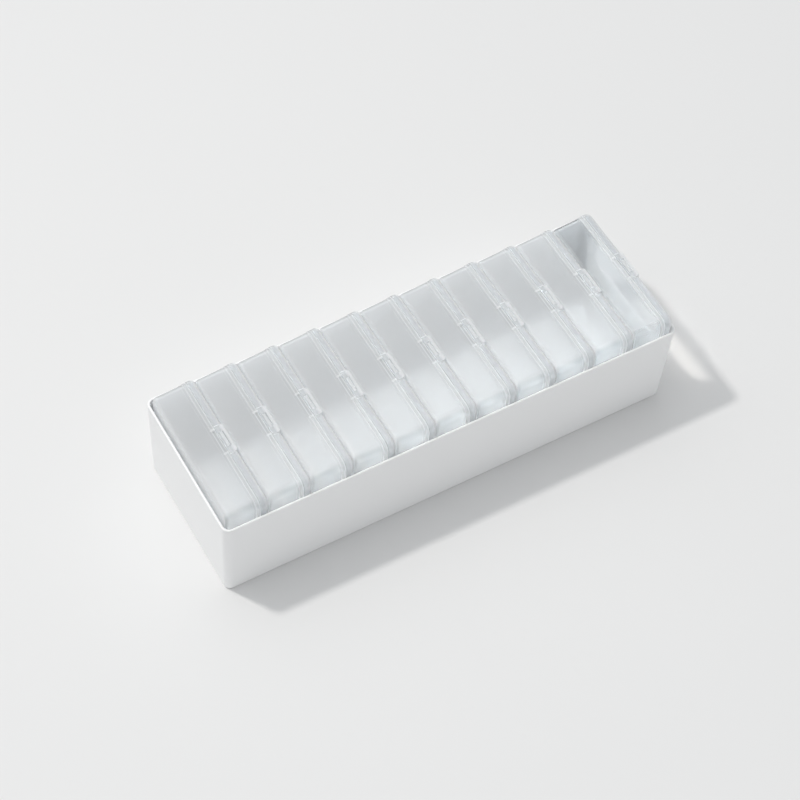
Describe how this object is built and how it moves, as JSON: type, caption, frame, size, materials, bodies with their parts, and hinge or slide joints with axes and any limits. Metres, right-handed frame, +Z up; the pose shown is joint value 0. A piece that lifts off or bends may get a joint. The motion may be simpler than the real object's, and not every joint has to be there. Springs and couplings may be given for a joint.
{
  "type": "organizer box",
  "caption": "Open white tray holding a row of clear hinged plastic cases that stand on edge and lift out one by one.",
  "frame": {"origin": "middle of the tray's underside", "axes": "+X along the row of cases, -Y towards the long front side, +Z up"},
  "size_m": [0.3, 0.1, 0.075],
  "materials": {
    "tray_plastic": "satin",
    "case_plastic": "clear, slightly frosted"
  },
  "bodies": {
    "tray": {"tray": "tray_plastic"},
    "case_01": {"case_01_body": "case_plastic", "case_01_lid": "case_plastic"},
    "case_02": {"case_02_body": "case_plastic", "case_02_lid": "case_plastic"},
    "case_03": {"case_03_body": "case_plastic", "case_03_lid": "case_plastic"},
    "case_04": {"case_04_body": "case_plastic", "case_04_lid": "case_plastic"},
    "case_05": {"case_05_body": "case_plastic", "case_05_lid": "case_plastic"},
    "case_06": {"case_06_body": "case_plastic", "case_06_lid": "case_plastic"},
    "case_07": {"case_07_body": "case_plastic", "case_07_lid": "case_plastic"},
    "case_08": {"case_08_body": "case_plastic", "case_08_lid": "case_plastic"},
    "case_09": {"case_09_body": "case_plastic", "case_09_lid": "case_plastic"},
    "case_10": {"case_10_body": "case_plastic", "case_10_lid": "case_plastic"},
    "case_11": {"case_11_body": "case_plastic", "case_11_lid": "case_plastic"}
  },
  "joints": [
    {"name": "case_01_lift", "type": "slide", "parent": "tray", "child": "case_01", "axis": [0, 0, 1], "range_m": [0, 0.085]},
    {"name": "case_02_lift", "type": "slide", "parent": "tray", "child": "case_02", "axis": [0, 0, 1], "range_m": [0, 0.085]},
    {"name": "case_03_lift", "type": "slide", "parent": "tray", "child": "case_03", "axis": [0, 0, 1], "range_m": [0, 0.085]},
    {"name": "case_04_lift", "type": "slide", "parent": "tray", "child": "case_04", "axis": [0, 0, 1], "range_m": [0, 0.085]},
    {"name": "case_05_lift", "type": "slide", "parent": "tray", "child": "case_05", "axis": [0, 0, 1], "range_m": [0, 0.085]},
    {"name": "case_06_lift", "type": "slide", "parent": "tray", "child": "case_06", "axis": [0, 0, 1], "range_m": [0, 0.085]},
    {"name": "case_07_lift", "type": "slide", "parent": "tray", "child": "case_07", "axis": [0, 0, 1], "range_m": [0, 0.085]},
    {"name": "case_08_lift", "type": "slide", "parent": "tray", "child": "case_08", "axis": [0, 0, 1], "range_m": [0, 0.085]},
    {"name": "case_09_lift", "type": "slide", "parent": "tray", "child": "case_09", "axis": [0, 0, 1], "range_m": [0, 0.085]},
    {"name": "case_10_lift", "type": "slide", "parent": "tray", "child": "case_10", "axis": [0, 0, 1], "range_m": [0, 0.085]},
    {"name": "case_11_lift", "type": "slide", "parent": "tray", "child": "case_11", "axis": [0, 0, 1], "range_m": [0, 0.085]}
  ]
}
